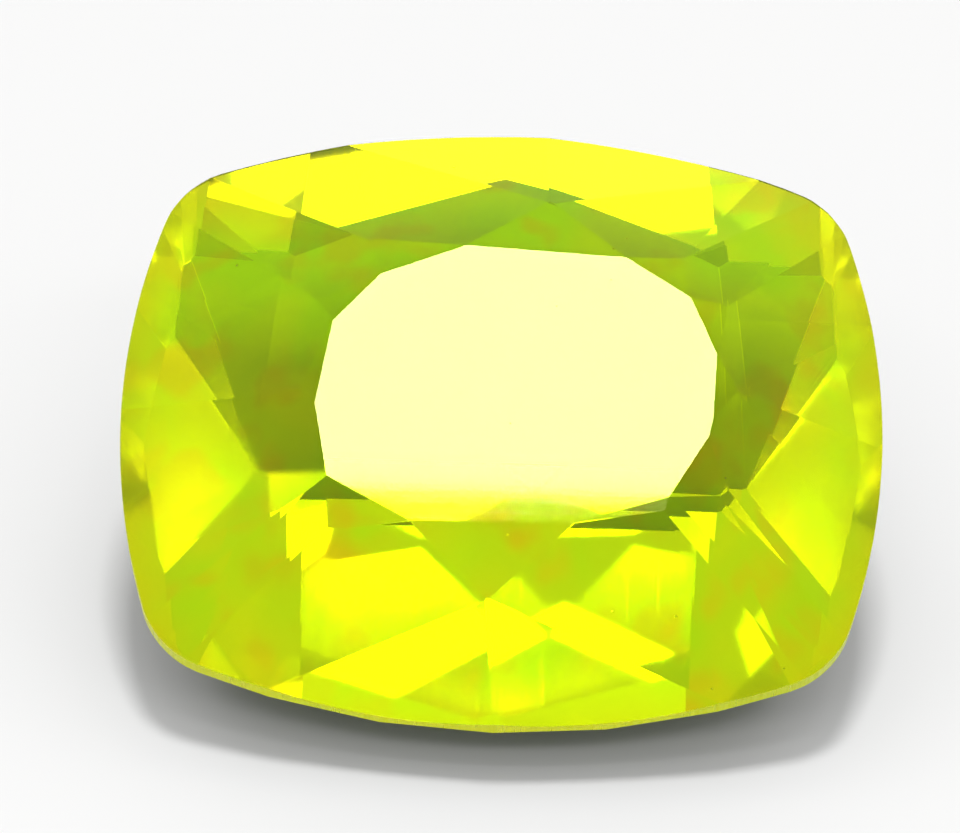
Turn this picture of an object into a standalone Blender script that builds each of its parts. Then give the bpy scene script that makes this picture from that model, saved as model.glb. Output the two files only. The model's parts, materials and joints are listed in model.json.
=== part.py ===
"""A faceted cushion-cut opal, lying on the front facet of its pavilion.

The stone is cut as a lapidary cuts it. A prism of the girdle's outline is trimmed by one plane for each
facet: the table, then stars, kites and upper girdle facets on the crown, then a steep tier under the girdle
and the mains on the pavilion. It is drawn level first, with the table up and the middle of the girdle at the
origin, X along its width and -Y to its front. At the end it is tipped forward until the front main lies on
the floor. Lengths are in metres and angles in degrees.
"""

from math import atan2, cos, degrees, radians, sin, sqrt, tan

import bmesh
import bpy
from mathutils import Matrix, Vector

# Girdle: a cushion of eight arcs, long in front and behind, shorter at the sides, and tight between them
WIDTH = 0.0200
DEPTH = 0.0170
LONG_ARC_RADIUS = 0.0215
SIDE_ARC_RADIUS = 0.0181
CORNER_RADIUS = 0.0025
GIRDLE_THICKNESS = 0.00055
STEPS_PER_LONG_ARC = 32
STEPS_PER_SIDE_ARC = 28
STEPS_PER_CORNER = 12

# Crown: the table's corners as they stand on this hand-cut stone, each with the compass bearing of its kite
CROWN_HEIGHT = 0.00285
TABLE_CORNERS = (
    (-0.0011, 0.0039, 102.0),
    (0.0031, 0.0037, 72.0),
    (0.0048, 0.0026, 44.0),
    (0.0055, 0.0010, 10.0),
    (0.0054, -0.0012, -12.0),
    (0.0043, -0.0031, -44.0),
    (0.0019, -0.0039, -74.0),
    (-0.0023, -0.0040, -106.0),
    (-0.0045, -0.0028, -135.0),
    (-0.0049, -0.0009, -169.0),
    (-0.0045, 0.0016, 168.0),
    (-0.0033, 0.0030, 136.0),
)
STAR_SLOPE = 20.0

# Pavilion: a steep tier under the girdle, then mains from the tier's lower rim to a long keel. Between two
# mains the tier has more facets where it is steeper, because a wide steep facet would cut through the girdle
PAVILION_DEPTH = 0.00745
KEEL_LENGTH = 0.0099
KEEL_SETBACK = 0.0007
TIER_DROP = 0.0022
FRONT_TIER_SLOPE = 68.0
SIDE_TIER_SLOPE = 65.0
BACK_TIER_SLOPE = 52.0
TIER_FACETS = 4
BACK_TIER_FACETS = 2
BACK_STARTS = 30.0
MAIN_BEARINGS = (0.0, 39.0, 62.0, 90.0, 118.0, 141.0, 180.0, -139.0, -120.0, -90.0, -60.0, -41.0)
FRONT_MAIN = MAIN_BEARINGS.index(-90.0)

# The prism stands this many times taller and deeper than the cut stone
ROUGH_ALLOWANCE = 1.2

# Points closer than this are one point, and a plane that passes a vertex this closely doesn't cut it
MEET_TOLERANCE = 2e-6

OPAL_COLOUR = (0.48, 0.80, 0.01, 1.0)
OPAL_ROUGHNESS = 0.03
OPAL_INDEX = 1.45


def direction(bearing):
    """The unit vector in the girdle plane that points to a compass bearing."""
    return Vector((cos(radians(bearing)), sin(radians(bearing)), 0.0))


def corner_centre():
    """The middle of the back-right corner's arc, which touches the long arc and the side arc beside it."""
    long_middle = Vector((0.0, DEPTH / 2 - LONG_ARC_RADIUS))
    side_middle = Vector((WIDTH / 2 - SIDE_ARC_RADIUS, 0.0))
    long_reach = LONG_ARC_RADIUS - CORNER_RADIUS
    side_reach = SIDE_ARC_RADIUS - CORNER_RADIUS
    apart = side_middle - long_middle
    gap = apart.length
    along = (long_reach**2 - side_reach**2 + gap**2) / (2 * gap)
    across = sqrt(long_reach**2 - along**2)
    unit = apart / gap
    return long_middle + unit * along + Vector((unit.y, -unit.x)) * across


def girdle_outline():
    """The closed outline of the girdle, counterclockwise from the middle of its right side."""
    corner = corner_centre()
    long_middle = Vector((0.0, DEPTH / 2 - LONG_ARC_RADIUS))
    side_middle = Vector((WIDTH / 2 - SIDE_ARC_RADIUS, 0.0))
    side_end = atan2(corner.y - side_middle.y, corner.x - side_middle.x)
    corner_end = atan2(corner.y - long_middle.y, corner.x - long_middle.x)
    arcs = (
        (side_middle, SIDE_ARC_RADIUS, 0.0, side_end, STEPS_PER_SIDE_ARC // 2),
        (corner, CORNER_RADIUS, side_end, corner_end, STEPS_PER_CORNER),
        (long_middle, LONG_ARC_RADIUS, corner_end, radians(90.0), STEPS_PER_LONG_ARC // 2),
    )
    quarter = []
    for middle, radius, start, end, steps in arcs:
        for step in range(steps):
            angle = start + (end - start) * step / steps
            quarter.append(middle + Vector((cos(angle), sin(angle))) * radius)
    back = Vector((0.0, DEPTH / 2))
    half = quarter + [back] + [Vector((-p.x, p.y)) for p in reversed(quarter)]
    return half + [Vector((p.x, -p.y)) for p in reversed(half[1:-1])]


def touch_point(outline, bearing, height):
    """The outline's farthest point towards a bearing, at a height: where a facet of that bearing meets it."""
    towards = direction(bearing).xy
    farthest = max(outline, key=lambda point: point.dot(towards))
    return farthest.to_3d() + Vector((0.0, 0.0, height))


def middle_bearing(first, second):
    """The bearing halfway from one to the other by the shorter way."""
    turn = (second - first + 180.0) % 360.0 - 180.0
    return first + turn / 2


def chord_bearing(first, second):
    """The bearing that a facet faces when it crosses the girdle at two points, taken counterclockwise."""
    chord = second - first
    return degrees(atan2(-chord.x, chord.y))


def plane_through(a, b, c):
    """The plane through three points, as a point and the normal that points away from the stone's middle."""
    normal = (b - a).cross(c - a).normalized()
    return (a, normal if normal.dot(a) > 0 else -normal)


def sloped_plane(point, bearing, slope):
    """The plane through a point that falls towards a bearing. A negative slope is a pavilion facet's."""
    steep = radians(slope)
    level = Vector((0.0, 0.0, cos(steep) if slope > 0 else -cos(steep)))
    return (point, direction(bearing) * abs(sin(steep)) + level)


def meet(first, second, third):
    """The point that three planes share."""
    planes = (first, second, third)
    rows = Matrix([normal for _, normal in planes])
    return rows.inverted() @ Vector([normal.dot(point) for point, normal in planes])


def joining_plane(point, foot, bearing):
    """The plane through a point that faces a bearing and takes in a foot farther out."""
    run = (foot - point).dot(direction(bearing))
    return sloped_plane(point, bearing, degrees(atan2(point.z - foot.z, run)))


def crown_planes(outline):
    """The table, and the stars, kites and upper girdle facets round it."""
    girdle_top = GIRDLE_THICKNESS / 2
    up = Vector((0.0, 0.0, 1.0))
    corners = [Vector((x, y, CROWN_HEIGHT)) for x, y, _ in TABLE_CORNERS]
    bearings = [bearing for _, _, bearing in TABLE_CORNERS]
    feet = [touch_point(outline, b, girdle_top) for b in bearings]
    kites = [joining_plane(c, foot, b) for c, foot, b in zip(corners, feet, bearings)]
    planes = [(corners[0], up)] + kites
    for i, corner in enumerate(corners):
        j = (i + 1) % len(corners)
        star = sloped_plane(corner, chord_bearing(corners[j], corner), STAR_SLOPE)
        tip = meet(star, kites[i], kites[j])
        between = touch_point(outline, middle_bearing(bearings[i], bearings[j]), girdle_top)
        planes += [star, plane_through(tip, feet[i], between), plane_through(tip, feet[j], between)]
    return planes


def keel_end(bearing):
    """The end of the keel that a main starts from. The front and back mains take the keel's middle."""
    middle = Vector((0.0, KEEL_SETBACK, -PAVILION_DEPTH))
    if bearing % 180.0 == 90.0:
        return middle
    side = 1.0 if direction(bearing).x > 0 else -1.0
    return middle + Vector((side * KEEL_LENGTH / 2, 0.0, 0.0))


def tier_slope(bearing):
    """How steep the tier under the girdle is towards a bearing."""
    towards_end = direction(bearing).y
    end_slope = BACK_TIER_SLOPE if towards_end > 0 else FRONT_TIER_SLOPE
    return SIDE_TIER_SLOPE + (end_slope - SIDE_TIER_SLOPE) * towards_end**2


def main_plane(outline, bearing):
    """The main of a bearing, from the keel to the lower rim of the tier above it."""
    inset = TIER_DROP / tan(radians(tier_slope(bearing)))
    rim_height = -GIRDLE_THICKNESS / 2 - TIER_DROP
    rim = touch_point(outline, bearing, rim_height) - direction(bearing) * inset
    return joining_plane(keel_end(bearing), rim, bearing)


def tier_stops(bearing, following):
    """The bearings where the tier's facets between two mains meet the girdle."""
    gap = (following - bearing) % 360.0
    at_back = direction(bearing + gap / 2).y > sin(radians(BACK_STARTS))
    facets = BACK_TIER_FACETS if at_back else TIER_FACETS
    return [bearing + gap * step / facets for step in range(facets + 1)]


def pavilion_planes(outline):
    """The mains, in the order of their bearings, and then the facets of the steep tier."""
    girdle_base = -GIRDLE_THICKNESS / 2
    planes = [main_plane(outline, bearing) for bearing in MAIN_BEARINGS]
    for i, bearing in enumerate(MAIN_BEARINGS):
        following = MAIN_BEARINGS[(i + 1) % len(MAIN_BEARINGS)]
        stops = [touch_point(outline, stop, girdle_base) for stop in tier_stops(bearing, following)]
        for first, second in zip(stops, stops[1:]):
            facing = chord_bearing(first, second)
            planes.append(sloped_plane(first, facing, -tier_slope(facing)))
    return planes


def rough_prism(outline):
    """The uncut stone: a prism of the girdle's outline that holds the whole crown and pavilion."""
    top = CROWN_HEIGHT * ROUGH_ALLOWANCE
    base = -PAVILION_DEPTH * ROUGH_ALLOWANCE
    prism = bmesh.new()
    rim = [prism.verts.new((p.x, p.y, base)) for p in outline]
    floor = prism.faces.new(rim)
    raised = bmesh.ops.extrude_face_region(prism, geom=[floor])["geom"]
    moved = [part for part in raised if isinstance(part, bmesh.types.BMVert)]
    bmesh.ops.translate(prism, verts=moved, vec=(0.0, 0.0, top - base))
    bmesh.ops.recalc_face_normals(prism, faces=prism.faces)
    return prism


def cut_facet(stone, plane):
    """Takes off what stands outside a facet's plane and closes the cut with one flat face."""
    point, normal = plane
    parts = stone.verts[:] + stone.edges[:] + stone.faces[:]
    bmesh.ops.bisect_plane(
        stone,
        geom=parts,
        dist=MEET_TOLERANCE,
        plane_co=point,
        plane_no=normal,
        clear_outer=True,
    )
    open_edges = [edge for edge in stone.edges if edge.is_boundary]
    if open_edges:
        bmesh.ops.holes_fill(stone, edges=open_edges)


def lay_on_front_main(stone, front_main):
    """Tips the level stone forward until its front main is flat on the floor, centred on the origin."""
    _, normal = front_main
    tip_forward = normal.rotation_difference(Vector((0.0, 0.0, -1.0))).to_matrix()
    bmesh.ops.rotate(stone, verts=stone.verts, cent=(0.0, 0.0, 0.0), matrix=tip_forward)
    low = Vector([min(v.co[axis] for v in stone.verts) for axis in range(3)])
    high = Vector([max(v.co[axis] for v in stone.verts) for axis in range(3)])
    middle = (low + high) / 2
    bmesh.ops.translate(stone, verts=stone.verts, vec=(-middle.x, -middle.y, -low.z))


def opal_material():
    """Clear yellow-green opal."""
    material = bpy.data.materials.new("opal")
    material.use_nodes = True
    shader = material.node_tree.nodes["Principled BSDF"]
    shader.inputs["Base Color"].default_value = OPAL_COLOUR
    shader.inputs["Roughness"].default_value = OPAL_ROUGHNESS
    shader.inputs["Metallic"].default_value = 0.0
    shader.inputs["IOR"].default_value = OPAL_INDEX
    shader.inputs["Transmission Weight"].default_value = 1.0
    return material


def build_opal():
    """The stone: one solid, cut and laid down."""
    outline = girdle_outline()
    stone = rough_prism(outline)
    pavilion = pavilion_planes(outline)
    for plane in crown_planes(outline) + pavilion:
        cut_facet(stone, plane)
    bmesh.ops.remove_doubles(stone, verts=stone.verts, dist=MEET_TOLERANCE)
    bmesh.ops.recalc_face_normals(stone, faces=stone.faces)
    lay_on_front_main(stone, pavilion[FRONT_MAIN])
    mesh = bpy.data.meshes.new("opal")
    stone.to_mesh(mesh)
    stone.free()
    mesh.materials.append(opal_material())
    opal = bpy.data.objects.new("opal", mesh)
    bpy.context.scene.collection.objects.link(opal)
    return opal


def main():
    """Clears the scene and builds the stone in it."""
    for old in list(bpy.data.objects):
        bpy.data.objects.remove(old)
    build_opal()


main()
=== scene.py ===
"""A cushion-cut opal of a strong lime yellow, lying on one facet of its pavilion on a pale floor.

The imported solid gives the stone's form. This script takes its facets, wears their edges and corners down a
little, finishes each facet with its own polish lines, and fills the stone with clear, slightly clouded
colour. A floor, soft lamps and a camera at the photograph's angle complete the scene. Lengths are in metres
and angles in degrees.
"""

import json
import logging
import math
import random
from dataclasses import dataclass
from enum import Enum

import bmesh
import bpy
from mathutils import Matrix, Vector


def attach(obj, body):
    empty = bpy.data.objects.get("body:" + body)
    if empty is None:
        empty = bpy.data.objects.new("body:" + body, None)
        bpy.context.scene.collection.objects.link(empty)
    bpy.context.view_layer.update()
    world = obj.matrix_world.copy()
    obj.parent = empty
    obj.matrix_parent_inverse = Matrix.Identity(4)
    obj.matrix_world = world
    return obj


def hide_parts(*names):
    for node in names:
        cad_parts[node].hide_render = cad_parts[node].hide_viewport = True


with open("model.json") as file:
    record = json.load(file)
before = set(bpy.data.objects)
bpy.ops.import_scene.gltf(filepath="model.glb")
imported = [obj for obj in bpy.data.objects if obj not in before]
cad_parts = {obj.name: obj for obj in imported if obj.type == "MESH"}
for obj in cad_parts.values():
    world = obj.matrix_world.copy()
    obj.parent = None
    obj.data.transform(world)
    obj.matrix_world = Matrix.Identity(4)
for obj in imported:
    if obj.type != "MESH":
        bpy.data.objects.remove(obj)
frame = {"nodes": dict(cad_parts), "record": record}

LOG = logging.getLogger("opal")
NODE = "opal"
MILLIMETRE = 0.001
MICRON = 0.000001
SENSOR_WIDTH = 36.0
WEAR_SEED = 7
WHITE = (1.0, 1.0, 1.0, 1.0)
LEVEL_UP = Vector((0.0, 0.0, 1.0))
LEVEL_ACROSS = Vector((1.0, 0.0, 0.0))
LEVEL_BACK = Vector((0.0, 1.0, 0.0))

# A face whose direction has less than this share of the table's stands square to the table
SQUARE_TO_TABLE = 0.02

# The Mix node has sockets of the same name for numbers and for colours, so they are taken by their places
MIX_NUMBERS = (0, 2, 3)
MIX_NUMBERS_RESULT = 0
MIX_COLOURS = (0, 6, 7)
MIX_COLOURS_RESULT = 2

Colour = tuple[float, float, float, float]


class FacetKind(Enum):
    """What a face of the finished stone is, with the number that its material reads."""

    TABLE = 0.0
    CROWN = 0.2
    GIRDLE = 0.4
    PAVILION = 0.6
    WORN_EDGE = 0.8


KindMasks = dict[FacetKind, bpy.types.NodeSocket]


@dataclass(frozen=True)
class OpalColour:
    """The opal's tints, each as red, green, blue and 1, with its painted shade and painted glow."""

    lime: Colour = (0.62, 1.0, 0.0, 1.0)
    lemon: Colour = (0.92, 0.96, 0.0, 1.0)
    amber: Colour = (1.0, 0.64, 0.0, 1.0)
    # Painted shade: a deeper green that the back of the pavilion turns to, standing in for the stone's shadow
    # on the floor seen through it.
    painted_back_shade: Colour = (0.26, 0.57, 0.0, 1.0)
    rim: Colour = (1.0, 0.70, 0.0, 1.0)
    speck: Colour = (0.16, 0.17, 0.01, 1.0)
    girdle: Colour = (1.0, 0.84, 0.0, 1.0)
    reflection: Colour = (1.0, 1.0, 0.3, 1.0)
    absorbed: Colour = (0.95, 0.99, 0.0, 1.0)
    absorption_density: float = 60.0
    # Painted glow: a faint lime emission stands in for light scattered in the opal's haze, lighting the stone
    # and the floor near it.
    painted_glow: Colour = (0.30, 0.50, 0.0, 1.0)
    painted_glow_strength: float = 0.04


@dataclass(frozen=True)
class OpalPolish:
    """The opal's clearness, polish and small marks.

    A pavilion facet counts as a side facet by its direction's share along the stone's width: not at all under
    side_start and fully from side_end.
    """

    index: float = 1.45
    crown_roughness: float = 0.035
    pavilion_roughness: float = 0.050
    side_roughness: float = 0.17
    side_start: float = 0.45
    side_end: float = 0.70
    girdle_smoothest: float = 0.15
    girdle_roughest: float = 0.60
    edge_roughness: float = 0.14
    speck_roughness: float = 0.5
    line_spacing: float = 70 * MICRON
    line_roughness: float = 0.004
    line_microns: float = 0.06
    girdle_line_microns: float = 4.0
    scratch_roughness: float = 0.02
    speck_spacing: float = 0.9 * MILLIMETRE
    speck_radius: float = 0.03 * MILLIMETRE


@dataclass(frozen=True)
class OpalZoning:
    """How the opal's colour is spread: soft clouds, a golden rim and painted shade low at the back."""

    cloud_size: float = 3.6 * MILLIMETRE
    cloud_share: float = 0.85
    amber_share: float = 0.8
    rim_width: float = 1.1 * MILLIMETRE
    rim_share: float = 0.8
    # Painted shade: where the pavilion's deeper green starts and ends, measured towards the back.
    painted_shade_start: float = 0.5 * MILLIMETRE
    painted_shade_end: float = 4.0 * MILLIMETRE


@dataclass(frozen=True)
class FloorFinish:
    """A plain, pale, matt floor."""

    colour: Colour = (0.84, 0.84, 0.84, 1.0)
    roughness: float = 0.9
    specular: float = 0.2


@dataclass(frozen=True)
class LevelFrame:
    """The stone's own frame: the table level, the width along X and the girdle's middle at the origin."""

    turn: Matrix
    origin: Vector

    def point(self, place: Vector) -> Vector:
        """Where a point of the level stone is on the lying one.

        Args:
            place: the point in the level stone's frame.

        Returns:
            The point in the scene.
        """
        return self.turn @ place + self.origin

    def direction(self, level_direction: Vector) -> Vector:
        """Where a direction of the level stone points on the lying one.

        Args:
            level_direction: the direction in the level stone's frame.

        Returns:
            The direction in the scene.
        """
        return self.turn @ level_direction


def level_frame(node: bpy.types.Object, table_normal: Vector) -> LevelFrame:
    """Finds the level stone's frame from its girdle, whose faces stand square to the table.

    Args:
        node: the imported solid.
        table_normal: the direction that the table faces.

    Returns:
        The frame.
    """
    turn = LEVEL_UP.rotation_difference(table_normal).to_matrix()
    back = turn.inverted()
    girdle = [
        back @ node.data.vertices[index].co
        for face in node.data.polygons
        if abs(face.normal.dot(table_normal)) < SQUARE_TO_TABLE
        for index in face.vertices
    ]
    low = Vector([min(point[axis] for point in girdle) for axis in range(3)])
    high = Vector([max(point[axis] for point in girdle) for axis in range(3)])
    return LevelFrame(turn, turn @ ((low + high) / 2))


class NodeSheet:
    """The nodes of a material or of a node group, with short ways to add the usual ones."""

    def __init__(self, tree: bpy.types.NodeTree) -> None:
        """Takes a tree of nodes.

        Args:
            tree: the tree that nodes are added to.
        """
        self.tree = tree

    def add(self, kind: str) -> bpy.types.Node:
        """Adds a node of any kind.

        Args:
            kind: the node's type name.

        Returns:
            The node.
        """
        return self.tree.nodes.new(kind)

    def join(self, socket: bpy.types.NodeSocket, value: object) -> None:
        """Feeds an input with another node's output, or with a plain value.

        Args:
            socket: the input.
            value: the output or the value.
        """
        if isinstance(value, bpy.types.NodeSocket):
            self.tree.links.new(value, socket)
        else:
            socket.default_value = value

    def math(self, operation: str, *terms: object) -> bpy.types.NodeSocket:
        """Adds a sum of numbers.

        Args:
            operation: the Math node's operation.
            terms: the numbers, or the outputs that give them.

        Returns:
            The result.
        """
        node = self.add("ShaderNodeMath")
        node.operation = operation
        for socket, term in zip(node.inputs, terms):
            self.join(socket, term)
        return node.outputs["Value"]

    def vectors(self, operation: str, first: object, second: object) -> bpy.types.NodeSocket:
        """Adds a sum of two vectors.

        Args:
            operation: the Vector Math node's operation.
            first: the first vector, or the output that gives it.
            second: the second one.

        Returns:
            The result, a number for a dot product and otherwise a vector.
        """
        node = self.add("ShaderNodeVectorMath")
        node.operation = operation
        self.join(node.inputs[0], first)
        self.join(node.inputs[1], second)
        return node.outputs["Value" if operation == "DOT_PRODUCT" else "Vector"]

    def noise(self, place: object, scale: float, detail: float) -> bpy.types.NodeSocket:
        """Adds a noise pattern.

        Args:
            place: the output that gives the place.
            scale: the pattern's repeats for each unit of place.
            detail: how many finer layers it has.

        Returns:
            The pattern, from 0 to 1.
        """
        node = self.add("ShaderNodeTexNoise")
        self.join(node.inputs["Vector"], place)
        self.join(node.inputs["Scale"], scale)
        self.join(node.inputs["Detail"], detail)
        return node.outputs["Fac"]

    def step(self, value: object, low: float, high: float) -> bpy.types.NodeSocket:
        """Adds a smooth step from 0 at one value to 1 at another.

        Args:
            value: the output that is stepped.
            low: where the step starts.
            high: where it ends.

        Returns:
            The step.
        """
        node = self.add("ShaderNodeMapRange")
        node.interpolation_type = "SMOOTHSTEP"
        self.join(node.inputs["Value"], value)
        self.join(node.inputs["From Min"], low)
        self.join(node.inputs["From Max"], high)
        return node.outputs["Result"]

    def mix(self, share: object, first: object, second: object) -> bpy.types.NodeSocket:
        """Adds a mix of two colours.

        Args:
            share: the output that gives the second colour's share.
            first: the first colour or the output that gives it.
            second: the second one.

        Returns:
            The mixed colour.
        """
        node = self.add("ShaderNodeMix")
        node.data_type = "RGBA"
        for index, value in zip(MIX_COLOURS, (share, first, second)):
            self.join(node.inputs[index], value)
        return node.outputs[MIX_COLOURS_RESULT]

    def blend(self, share: object, first: object, second: object) -> bpy.types.NodeSocket:
        """Adds a mix of two numbers.

        Args:
            share: the output that gives the second number's share.
            first: the first number or the output that gives it.
            second: the second one.

        Returns:
            The mixed number.
        """
        node = self.add("ShaderNodeMix")
        for index, value in zip(MIX_NUMBERS, (share, first, second)):
            self.join(node.inputs[index], value)
        return node.outputs[MIX_NUMBERS_RESULT]

    def attribute(self, name: str, output: str) -> bpy.types.NodeSocket:
        """Adds a value that the mesh keeps on its faces.

        Args:
            name: the value's name.
            output: Fac for a number, or Vector.

        Returns:
            The value.
        """
        node = self.add("ShaderNodeAttribute")
        node.attribute_name = name
        return node.outputs[output]

    def use(self, group: bpy.types.NodeTree, **values: object) -> bpy.types.NodeOutputs:
        """Places a node group.

        Args:
            group: the group.
            values: what goes into its inputs, by name.

        Returns:
            The group's outputs.
        """
        node = self.add("ShaderNodeGroup")
        node.node_tree = group
        for name, value in values.items():
            self.join(node.inputs[name], value)
        return node.outputs

    def bump(self, height: object, distance: float) -> bpy.types.NodeSocket:
        """Adds a relief to the surface.

        Args:
            height: the output that gives the relief.
            distance: how high a relief of 1 stands.

        Returns:
            The relief's normal.
        """
        node = self.add("ShaderNodeBump")
        self.join(node.inputs["Height"], height)
        self.join(node.inputs["Distance"], distance)
        return node.outputs["Normal"]


class GroupSheet(NodeSheet):
    """A node group that a material places with its own values."""

    def __init__(self, name: str, inputs: dict[str, str], outputs: tuple[str, ...]) -> None:
        """Starts the group.

        Args:
            name: the group's name.
            inputs: each input's name with its type, Vector or Float.
            outputs: the names of its outputs, all of them numbers.
        """
        super().__init__(bpy.data.node_groups.new(name, "ShaderNodeTree"))
        for label, kind in inputs.items():
            self.tree.interface.new_socket(label, in_out="INPUT", socket_type="NodeSocket" + kind)
        for label in outputs:
            self.tree.interface.new_socket(label, in_out="OUTPUT", socket_type="NodeSocketFloat")
        self.inputs = self.add("NodeGroupInput").outputs
        self.outputs = self.add("NodeGroupOutput").inputs


def polish_lines() -> bpy.types.NodeTree:
    """The fine lines that a polishing wheel leaves, along each facet's own grain.

    Returns:
        The group. Line is the lines' pattern, and Scratch is 1 on the few deep ones. Both are from 0 to 1.
    """
    # How much longer than wide a line is, and what moves the pattern of each facet apart from its neighbour's
    line_stretch = 45.0
    facet_key = (311.7, 173.3, 97.1)
    scratch_start = 0.74
    scratch_end = 0.80
    inputs = {"Place": "Vector", "Grain": "Vector", "Facing": "Vector", "Spacing": "Float"}
    sheet = GroupSheet("polish_lines", inputs, ("Line", "Scratch"))
    place, grain, facing, spacing = (sheet.inputs[name] for name in inputs)
    along = sheet.math("DIVIDE", sheet.vectors("DOT_PRODUCT", place, grain), line_stretch)
    across = sheet.vectors("DOT_PRODUCT", place, sheet.vectors("CROSS_PRODUCT", facing, grain))
    spot = sheet.add("ShaderNodeCombineXYZ")
    sheet.join(spot.inputs["X"], sheet.math("DIVIDE", along, spacing))
    sheet.join(spot.inputs["Y"], sheet.math("DIVIDE", across, spacing))
    sheet.join(spot.inputs["Z"], sheet.vectors("DOT_PRODUCT", facing, facet_key))
    line = sheet.noise(spot.outputs["Vector"], 1.0, 0.0)
    sheet.join(sheet.outputs["Line"], line)
    sheet.join(sheet.outputs["Scratch"], sheet.step(line, scratch_start, scratch_end))
    return sheet.tree


def specks() -> bpy.types.NodeTree:
    """Tiny pits and dust grains scattered over the surface.

    Returns:
        The group. Mask is 1 on a speck and 0 off it.
    """
    chosen_share = 0.45
    first_channel = (1.0, 0.0, 0.0)
    sheet = GroupSheet("specks", {"Place": "Vector", "Spacing": "Float", "Radius": "Float"}, ("Mask",))
    cells = sheet.add("ShaderNodeTexVoronoi")
    spacing = sheet.inputs["Spacing"]
    sheet.join(cells.inputs["Vector"], sheet.inputs["Place"])
    sheet.join(cells.inputs["Scale"], sheet.math("DIVIDE", 1.0, spacing))
    reach = sheet.math("MULTIPLY", cells.outputs["Distance"], spacing)
    near = sheet.math("LESS_THAN", reach, sheet.inputs["Radius"])
    lot = sheet.vectors("DOT_PRODUCT", cells.outputs["Color"], first_channel)
    chosen = sheet.math("LESS_THAN", lot, chosen_share)
    sheet.join(sheet.outputs["Mask"], sheet.math("MULTIPLY", near, chosen))
    return sheet.tree


def clouding() -> bpy.types.NodeTree:
    """Soft clouds of warmer colour, as slightly hazy opal has.

    Returns:
        The group. Lemon and Amber are each 0 outside their clouds and 1 inside them.
    """
    lemon_start = 0.42
    lemon_end = 0.60
    lemon_detail = 1.0
    amber_start = 0.54
    amber_end = 0.68
    amber_detail = 2.0
    amber_offset = (0.031, 0.017, 0.023)
    amber_fineness = 1.7
    sheet = GroupSheet("clouding", {"Place": "Vector", "Size": "Float"}, ("Lemon", "Amber"))
    scale = sheet.math("DIVIDE", 1.0, sheet.inputs["Size"])
    cloud = sheet.noise(sheet.inputs["Place"], scale, lemon_detail)
    sheet.join(sheet.outputs["Lemon"], sheet.step(cloud, lemon_start, lemon_end))
    apart = sheet.vectors("ADD", sheet.inputs["Place"], amber_offset)
    ember = sheet.noise(apart, sheet.math("MULTIPLY", scale, amber_fineness), amber_detail)
    sheet.join(sheet.outputs["Amber"], sheet.step(ember, amber_start, amber_end))
    return sheet.tree


def colour_zones() -> bpy.types.NodeTree:
    """The stone's large colour zones, by the place in the stone: a golden rim and painted shade towards the
    back.

    Returns:
        The group. Rim is 1 at the girdle and fades above and below it. The painted shade's share rises to 1
        towards the back.
    """
    # The rim's edge is ragged: its height is read as half to one and a half times what it is
    ragged_scale = 900.0
    ragged_detail = 1.0
    ragged_least = 0.5
    inputs = {"Place": "Vector", "Centre": "Vector", "Up": "Vector", "Back": "Vector"}
    inputs.update({"Rim Width": "Float", "Painted Shade Start": "Float", "Painted Shade End": "Float"})
    sheet = GroupSheet("colour_zones", inputs, ("Rim", "Painted Shade"))
    place = sheet.inputs["Place"]
    offset = sheet.vectors("SUBTRACT", place, sheet.inputs["Centre"])
    height = sheet.math("ABSOLUTE", sheet.vectors("DOT_PRODUCT", offset, sheet.inputs["Up"]))
    ragged = sheet.math("ADD", ragged_least, sheet.noise(place, ragged_scale, ragged_detail))
    faded = sheet.step(sheet.math("MULTIPLY", height, ragged), 0.0, sheet.inputs["Rim Width"])
    sheet.join(sheet.outputs["Rim"], sheet.math("SUBTRACT", 1.0, faded))
    # Painted shade: its share rises towards the back of the stone.
    back = sheet.vectors("DOT_PRODUCT", offset, sheet.inputs["Back"])
    sheet.join(sheet.outputs["Painted Shade"], sheet.step(back, sheet.inputs["Painted Shade Start"], sheet.inputs["Painted Shade End"]))
    return sheet.tree


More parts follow.
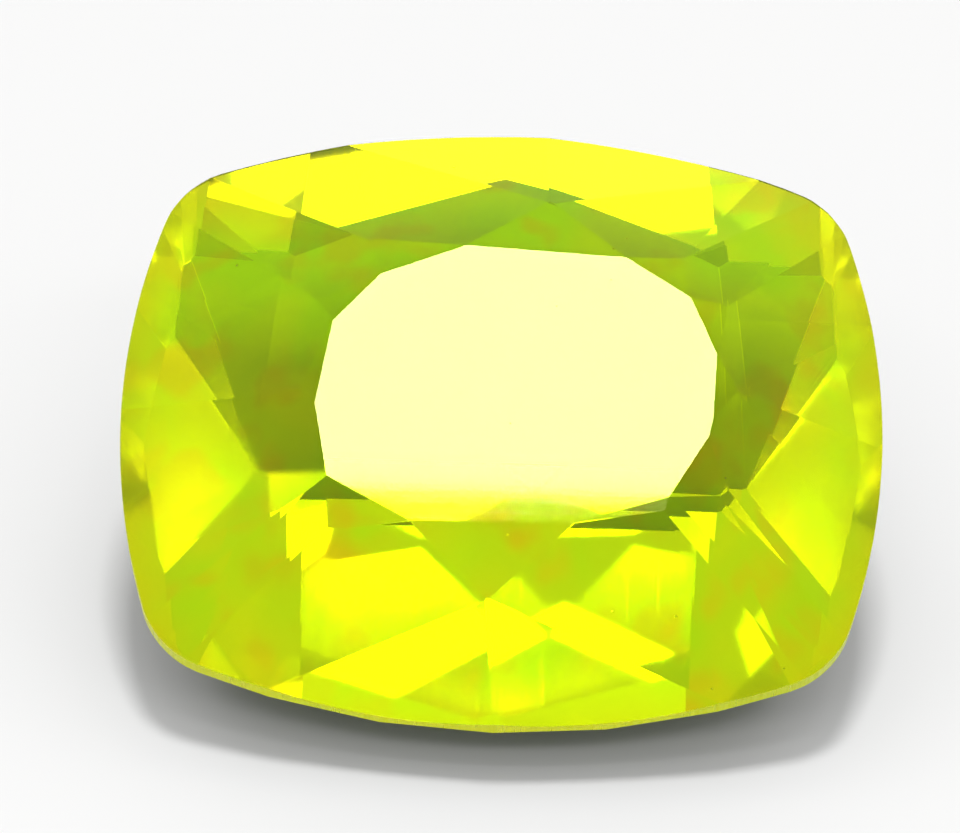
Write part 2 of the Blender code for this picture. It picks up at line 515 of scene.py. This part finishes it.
@dataclass
class OpalMaterial:
    """Clear, tinted opal: polished on its facets, brushed on its girdle and rubbed along its edges.

    The kinds that stand apart have a finish or tint of their own, the pavilion's tint being painted shade
    towards the back. The table has the crown's.
    """

    level: LevelFrame
    colour: OpalColour
    polish: OpalPolish
    zoning: OpalZoning
    kinds_apart: tuple[FacetKind, ...] = (FacetKind.GIRDLE, FacetKind.PAVILION, FacetKind.WORN_EDGE)

    def build(self) -> bpy.types.Material:
        """Makes the material.

        Returns:
            The material.
        """
        material = bpy.data.materials.new("opal_cut")
        material.use_nodes = True
        sheet = NodeSheet(material.node_tree)
        shader = material.node_tree.nodes["Principled BSDF"]
        polish = self.polish
        place = sheet.add("ShaderNodeTexCoord").outputs["Object"]
        facing = sheet.attribute("facing", "Vector")
        lines = sheet.use(
            polish_lines(),
            Place=place,
            Grain=sheet.attribute("grain", "Vector"),
            Facing=facing,
            Spacing=polish.line_spacing,
        )
        marks = sheet.use(specks(), Place=place, Spacing=polish.speck_spacing, Radius=polish.speck_radius)
        kind = sheet.attribute("facet_kind", "Fac")
        kinds = {wanted: self.is_kind(sheet, kind, wanted) for wanted in self.kinds_apart}

        sheet.join(shader.inputs["Base Color"], self.tint(sheet, place, kinds, marks["Mask"]))
        sheet.join(shader.inputs["Roughness"], self.roughness(sheet, facing, kinds, lines, marks["Mask"]))
        sheet.join(shader.inputs["Normal"], self.relief(sheet, kinds, lines))
        shader.inputs["Metallic"].default_value = 0.0
        shader.inputs["IOR"].default_value = polish.index
        shader.inputs["Transmission Weight"].default_value = 1.0
        shader.inputs["Specular Tint"].default_value = self.colour.reflection
        # Painted glow: the stone gives off a faint lime light of its own, standing in for light scattered in
        # its haze.
        shader.inputs["Emission Color"].default_value = self.colour.painted_glow
        shader.inputs["Emission Strength"].default_value = self.colour.painted_glow_strength
        absorption = sheet.add("ShaderNodeVolumeAbsorption")
        absorption.inputs["Color"].default_value = self.colour.absorbed
        absorption.inputs["Density"].default_value = self.colour.absorption_density
        output = material.node_tree.nodes["Material Output"]
        sheet.join(output.inputs["Volume"], absorption.outputs["Volume"])
        return material

    def is_kind(
        self, sheet: NodeSheet, kind: bpy.types.NodeSocket, wanted: FacetKind
    ) -> bpy.types.NodeSocket:
        """Whether the face is of one kind.

        Args:
            sheet: the material's nodes.
            kind: the face's kind.
            wanted: the kind that gives 1.

        Returns:
            1 or 0.
        """
        tolerance = 0.05
        return sheet.math("COMPARE", kind, wanted.value, tolerance)

    def tint(
        self, sheet: NodeSheet, place: bpy.types.NodeSocket, kinds: KindMasks, speck: bpy.types.NodeSocket
    ) -> bpy.types.NodeSocket:
        """The colour that light takes on at the surface, with painted shade on the back of the pavilion.

        Args:
            sheet: the material's nodes.
            place: the place on the stone.
            kinds: for each kind that stands apart, 1 where the face is of that kind.
            speck: 1 on a speck.

        Returns:
            The colour.
        """
        colour = self.colour
        zoning = self.zoning
        zones = sheet.use(
            colour_zones(),
            **{
                "Place": place,
                "Centre": self.level.origin,
                "Up": self.level.direction(LEVEL_UP),
                "Back": self.level.direction(LEVEL_BACK),
                "Rim Width": zoning.rim_width,
                "Painted Shade Start": zoning.painted_shade_start,
                "Painted Shade End": zoning.painted_shade_end,
            },
        )
        clouds = sheet.use(clouding(), Place=place, Size=zoning.cloud_size)
        lemon = sheet.math("MULTIPLY", clouds["Lemon"], zoning.cloud_share)
        tint = sheet.mix(lemon, colour.lime, colour.lemon)
        amber = sheet.math("MULTIPLY", clouds["Amber"], zoning.amber_share)
        tint = sheet.mix(amber, tint, colour.amber)
        # Painted shade: the pavilion turns a deeper green towards the back, standing in for the stone's
        # shadow on the floor seen through it.
        painted_back_shade = sheet.math("MULTIPLY", zones["Painted Shade"], kinds[FacetKind.PAVILION])
        tint = sheet.mix(painted_back_shade, tint, colour.painted_back_shade)
        tint = sheet.mix(sheet.math("MULTIPLY", zones["Rim"], zoning.rim_share), tint, colour.rim)
        tint = sheet.mix(kinds[FacetKind.GIRDLE], tint, colour.girdle)
        return sheet.mix(speck, tint, colour.speck)

    def roughness(
        self,
        sheet: NodeSheet,
        facing: bpy.types.NodeSocket,
        kinds: KindMasks,
        lines: bpy.types.NodeOutputs,
        speck: bpy.types.NodeSocket,
    ) -> bpy.types.NodeSocket:
        """How rough each part of the surface is. The pavilion's side facets are less finely polished.

        Args:
            sheet: the material's nodes.
            facing: the direction that the facet faces.
            kinds: for each kind that stands apart, 1 where the face is of that kind.
            lines: the polish lines.
            speck: 1 on a speck.

        Returns:
            The roughness.
        """
        polish = self.polish
        across = self.level.direction(LEVEL_ACROSS)
        turned = sheet.math("ABSOLUTE", sheet.vectors("DOT_PRODUCT", facing, across))
        at_side = sheet.step(turned, polish.side_start, polish.side_end)
        below = sheet.blend(at_side, polish.pavilion_roughness, polish.side_roughness)
        rough = sheet.blend(kinds[FacetKind.PAVILION], polish.crown_roughness, below)
        rough = sheet.math("ADD", rough, sheet.math("MULTIPLY", lines["Line"], polish.line_roughness))
        rough = sheet.math("ADD", rough, sheet.math("MULTIPLY", lines["Scratch"], polish.scratch_roughness))
        brushed = sheet.blend(lines["Line"], polish.girdle_smoothest, polish.girdle_roughest)
        rough = sheet.blend(kinds[FacetKind.GIRDLE], rough, brushed)
        rough = sheet.blend(kinds[FacetKind.WORN_EDGE], rough, polish.edge_roughness)
        return sheet.blend(speck, rough, polish.speck_roughness)

    def relief(
        self, sheet: NodeSheet, kinds: KindMasks, lines: bpy.types.NodeOutputs
    ) -> bpy.types.NodeSocket:
        """The surface's fine relief: its polish lines, which are deeper on the girdle.

        Args:
            sheet: the material's nodes.
            kinds: for each kind that stands apart, 1 where the face is of that kind.
            lines: the polish lines.

        Returns:
            The normal.
        """
        polish = self.polish
        depth = sheet.blend(kinds[FacetKind.GIRDLE], polish.line_microns, polish.girdle_line_microns)
        return sheet.bump(sheet.math("MULTIPLY", lines["Line"], depth), MICRON)


@dataclass
class CutStone:
    """The opal itself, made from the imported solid's facets.

    edge_wear is the usual width of a worn edge, and wear_spread is the share by which it is more or less.
    chip_rise is how far up a chip faces for each step outwards. The chipped corners are in the level frame.
    """

    node: bpy.types.Object
    level: LevelFrame
    material: OpalMaterial
    merge_distance: float = 1 * MICRON
    cut_tolerance: float = 0.05 * MICRON
    flat_angle: float = 0.2
    edge_wear: float = 22 * MICRON
    wear_spread: float = 0.5
    shortest_worn_edge: float = 0.1 * MILLIMETRE
    chip_depth: float = 30 * MICRON
    chip_rise: float = 2.0
    chipped_corners: tuple[tuple[float, float], ...] = ((-0.0049, -0.0009), (0.0054, -0.0012))

    def build(self) -> bpy.types.Object:
        """Makes the finished stone.

        Returns:
            The stone's object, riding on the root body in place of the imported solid.
        """
        solid = self.facets()
        flats = [face.normal.copy() for face in solid.faces]
        self.wear_edges(solid)
        self.chip_corners(solid)
        mesh = self.to_mesh(solid, flats)
        mesh.materials.append(self.material.build())
        stone = bpy.data.objects.new("cut_opal", mesh)
        bpy.context.scene.collection.objects.link(stone)
        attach(stone, "root")
        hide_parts(NODE)
        return stone

    def facets(self) -> bmesh.types.BMesh:
        """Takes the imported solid's mesh and joins its triangles.

        Returns:
            The solid with one face for each facet.
        """
        solid = bmesh.new()
        solid.from_mesh(self.node.data)
        bmesh.ops.remove_doubles(solid, verts=solid.verts, dist=self.merge_distance)
        bmesh.ops.dissolve_limit(
            solid, angle_limit=math.radians(self.flat_angle), verts=solid.verts, edges=solid.edges
        )
        solid.normal_update()
        return solid

    def trim(self, solid: bmesh.types.BMesh, point: Vector, normal: Vector) -> None:
        """Takes off what stands outside a plane and closes the cut.

        Args:
            solid: the stone.
            point: a point of the plane.
            normal: the direction that the plane faces.
        """
        bmesh.ops.bisect_plane(
            solid,
            geom=solid.verts[:] + solid.edges[:] + solid.faces[:],
            dist=self.cut_tolerance,
            plane_co=point,
            plane_no=normal,
            clear_outer=True,
        )
        rim = [edge for edge in solid.edges if edge.is_boundary]
        if rim:
            bmesh.ops.holes_fill(solid, edges=rim)

    def is_girdle(self, normal: Vector) -> bool:
        """Whether a facet that faces this way belongs to the girdle."""
        return abs(normal.dot(self.level.direction(LEVEL_UP))) < SQUARE_TO_TABLE

    def wear_edges(self, solid: bmesh.types.BMesh) -> None:
        """Rubs each edge between two facets down to a narrow flat, apart from the girdle's own upright edges
        and the shortest edges.

        Args:
            solid: the stone.
        """
        chance = random.Random(WEAR_SEED)
        cuts = []
        for edge in solid.edges:
            first, second = (face.normal for face in edge.link_faces)
            if self.is_girdle(first) and self.is_girdle(second):
                continue
            if edge.calc_length() < self.shortest_worn_edge:
                continue
            width = self.edge_wear * (1.0 + self.wear_spread * chance.uniform(-1.0, 1.0))
            outward = (first + second).normalized()
            depth = width / 2 * math.tan(first.angle(second) / 2)
            middle = (edge.verts[0].co + edge.verts[1].co) / 2
            cuts.append((middle - outward * depth, outward))
        for point, outward in cuts:
            self.trim(solid, point, outward)

    def chip_corners(self, solid: bmesh.types.BMesh) -> None:
        """Knocks a small chip off some corners of the table.

        Args:
            solid: the stone.
        """
        up = self.level.direction(LEVEL_UP)
        table = max(solid.faces, key=lambda face: face.normal.dot(up))
        height = (self.level.turn.inverted() @ (table.verts[0].co - self.level.origin)).z
        for x, y in self.chipped_corners:
            corner = self.level.point(Vector((x, y, height)))
            sideways = self.level.direction(Vector((x, y, 0.0))).normalized()
            outward = (sideways + up * self.chip_rise).normalized()
            self.trim(solid, corner - outward * self.chip_depth, outward)

    def kind(self, normal: Vector, flats: list[Vector]) -> FacetKind:
        """What a face is, by the way that it faces.

        Args:
            normal: the face's direction.
            flats: the directions of the stone's facets before they were worn.

        Returns:
            The kind.
        """
        same = 0.99999
        if not any(normal.dot(flat) > same for flat in flats):
            return FacetKind.WORN_EDGE
        if self.is_girdle(normal):
            return FacetKind.GIRDLE
        rise = normal.dot(self.level.direction(LEVEL_UP))
        if rise > same:
            return FacetKind.TABLE
        return FacetKind.CROWN if rise > 0 else FacetKind.PAVILION

    def to_mesh(self, solid: bmesh.types.BMesh, flats: list[Vector]) -> bpy.types.Mesh:
        """Writes the mesh, with what each face is and which way its polish lines run.

        Args:
            solid: the worn stone.
            flats: the directions of its facets before they were worn.

        Returns:
            The mesh.
        """
        up = self.level.direction(LEVEL_UP)
        across = self.level.direction(LEVEL_ACROSS)
        kinds = [self.kind(face.normal, flats) for face in solid.faces]
        facings = [face.normal.copy() for face in solid.faces]
        grains = []
        for face, kind in zip(solid.faces, kinds):
            run = across if kind is FacetKind.TABLE else face.normal.cross(up).cross(face.normal)
            grains.append(run.normalized())
            face.smooth = kind is FacetKind.GIRDLE
        for edge in solid.edges:
            edge.smooth = all(face.smooth for face in edge.link_faces)
        mesh = bpy.data.meshes.new("cut_opal")
        solid.to_mesh(mesh)
        solid.free()
        kind_data = mesh.attributes.new("facet_kind", "FLOAT", "FACE")
        kind_data.data.foreach_set("value", [kind.value for kind in kinds])
        for name, directions in (("grain", grains), ("facing", facings)):
            data = mesh.attributes.new(name, "FLOAT_VECTOR", "FACE")
            data.data.foreach_set("vector", [part for direction in directions for part in direction])
        return mesh


@dataclass
class Floor:
    """The pale floor that the stone lies on."""

    finish: FloorFinish
    half_side: float = 0.6
    gap: float = 20 * MICRON

    def build(self) -> bpy.types.Object:
        """Makes the floor.

        Returns:
            The floor's object.
        """
        sheet = bmesh.new()
        bmesh.ops.create_grid(sheet, x_segments=1, y_segments=1, size=self.half_side)
        mesh = bpy.data.meshes.new("floor")
        sheet.to_mesh(mesh)
        sheet.free()
        material = bpy.data.materials.new("floor")
        material.use_nodes = True
        shader = material.node_tree.nodes["Principled BSDF"]
        shader.inputs["Base Color"].default_value = self.finish.colour
        shader.inputs["Roughness"].default_value = self.finish.roughness
        shader.inputs["Specular IOR Level"].default_value = self.finish.specular
        mesh.materials.append(material)
        floor = bpy.data.objects.new("floor", mesh)
        floor.location.z = -self.gap
        bpy.context.scene.collection.objects.link(floor)
        return floor


@dataclass(frozen=True)
class SoftBox:
    """A rectangular soft lamp that faces the stone. Azimuth 0 is behind the stone and 180 in front of it."""

    name: str
    azimuth: float
    elevation: float
    distance: float
    width: float
    height: float
    radiance: float
    colour: tuple[float, float, float] = WHITE[:3]

    def build(self, target: Vector) -> bpy.types.Object:
        """Makes the lamp.

        Args:
            target: the point that it faces.

        Returns:
            The lamp's object.
        """
        azimuth = math.radians(self.azimuth)
        elevation = math.radians(self.elevation)
        level = math.cos(elevation)
        towards = Vector((math.sin(azimuth) * level, math.cos(azimuth) * level, math.sin(elevation)))
        light = bpy.data.lights.new(self.name, "AREA")
        light.shape = "RECTANGLE"
        light.size = self.width
        light.size_y = self.height
        light.color = self.colour
        light.energy = self.radiance * math.pi * self.width * self.height
        lamp = bpy.data.objects.new(self.name, light)
        lamp.location = target + towards * self.distance
        lamp.rotation_euler = towards.to_track_quat("Z", "Y").to_euler()
        bpy.context.scene.collection.objects.link(lamp)
        return lamp


@dataclass
class Studio:
    """The soft light round the stone.

    Each lamp has its azimuth, elevation, distance, width, height and radiance, and its colour if not white.
    """

    target: Vector
    sky_brightness: float = 0.63
    lamps: tuple[SoftBox, ...] = (
        SoftBox("key", 180.0, 87.1, 0.30, 0.052, 0.052, 44.0),
        SoftBox("upper_strip", 180.0, 66.9, 0.35, 0.130, 0.012, 12.0),
        SoftBox("lower_strip", 180.0, 47.6, 0.35, 0.230, 0.040, 4.5),
        SoftBox("upper_right", 143.0, 71.2, 0.35, 0.042, 0.022, 3.0),
        SoftBox("middle_right", 144.0, 44.8, 0.35, 0.085, 0.022, 4.5),
        SoftBox("lower_right", 131.5, 38.0, 0.35, 0.040, 0.014, 5.0),
        SoftBox("upper_left", 207.0, 70.8, 0.35, 0.028, 0.010, 1.4, (1.0, 0.75, 0.1)),
        SoftBox("middle_left", 227.0, 45.8, 0.35, 0.050, 0.030, 1.0),
        SoftBox("back", 1.2, 63.0, 0.35, 0.085, 0.028, 1.0, (1.0, 0.9, 0.3)),
    )

    def build(self) -> list[bpy.types.Object]:
        """Makes the sky light and the lamps.

        Returns:
            The lamps' objects.
        """
        world = bpy.data.worlds.new("studio")
        world.use_nodes = True
        sky = world.node_tree.nodes["Background"]
        sky.inputs["Color"].default_value = WHITE
        sky.inputs["Strength"].default_value = self.sky_brightness
        bpy.context.scene.world = world
        return [lamp.build(self.target) for lamp in self.lamps]


@dataclass(frozen=True)
class Viewpoint:
    """The camera, placed as the photograph was taken, by angles about the level stone."""

    elevation: float = 65.5
    azimuth: float = -1.2
    roll: float = -3.0
    distance: float = 0.1418
    lens: float = 202.3
    shift_x: float = -0.02277
    shift_y: float = 0.0114

    def build(self, level: LevelFrame) -> bpy.types.Object:
        """Makes the scene's camera.

        Args:
            level: the level stone's frame.

        Returns:
            The camera's object.
        """
        elevation = math.radians(self.elevation)
        azimuth = math.radians(self.azimuth)
        roll = math.radians(self.roll)
        flat = math.cos(elevation)
        back = Vector((math.sin(azimuth) * flat, -math.cos(azimuth) * flat, math.sin(elevation)))
        right = Vector((math.cos(azimuth), math.sin(azimuth), 0.0))
        up = back.cross(right)
        rolled_right = right * math.cos(roll) - up * math.sin(roll)
        rolled_up = up * math.cos(roll) + right * math.sin(roll)
        turn = Matrix((rolled_right, rolled_up, back)).transposed()
        data = bpy.data.cameras.new("camera")
        data.sensor_width = SENSOR_WIDTH
        data.lens = self.lens
        data.shift_x = self.shift_x
        data.shift_y = self.shift_y
        data.clip_start = MILLIMETRE
        camera = bpy.data.objects.new("camera", data)
        camera.matrix_world = (level.turn @ turn).to_4x4()
        camera.location = level.point(back * self.distance)
        bpy.context.scene.collection.objects.link(camera)
        bpy.context.scene.camera = camera
        return camera


def set_light_paths() -> None:
    """Lets light bounce often enough inside the stone, and shows colours as they are.

    The light tree is off, because the rays meet these few lamps directly and render faster without it.
    """
    scene = bpy.context.scene
    scene.cycles.max_bounces = 16
    scene.cycles.transmission_bounces = 16
    scene.cycles.glossy_bounces = 8
    scene.cycles.diffuse_bounces = 4
    scene.cycles.caustics_reflective = False
    scene.cycles.caustics_refractive = False
    scene.cycles.blur_glossy = 0.5
    scene.cycles.sample_clamp_indirect = 10.0
    scene.cycles.use_light_tree = False
    scene.view_settings.view_transform = "Standard"


def main() -> None:
    """Builds the stone, the floor, the light and the camera."""
    logging.basicConfig(level=logging.INFO, format="%(name)s: %(message)s")
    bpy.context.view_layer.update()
    node = frame["nodes"][NODE]
    mounts = {mount["name"]: mount for mount in frame["record"]["mounts"]}
    level = level_frame(node, Vector(mounts["table"]["axis"]).normalized())
    material = OpalMaterial(level, OpalColour(), OpalPolish(), OpalZoning())
    stone = CutStone(node, level, material).build()
    LOG.info("%s: %d faces", stone.name, len(stone.data.polygons))
    floor = Floor(FloorFinish()).build()
    LOG.info("%s: laid", floor.name)
    for lamp in Studio(level.origin).build():
        LOG.info("lamp %s: placed", lamp.name)
    camera = Viewpoint().build(level)
    LOG.info("%s: placed", camera.name)
    set_light_paths()


if __name__ == "__main__":
    main()
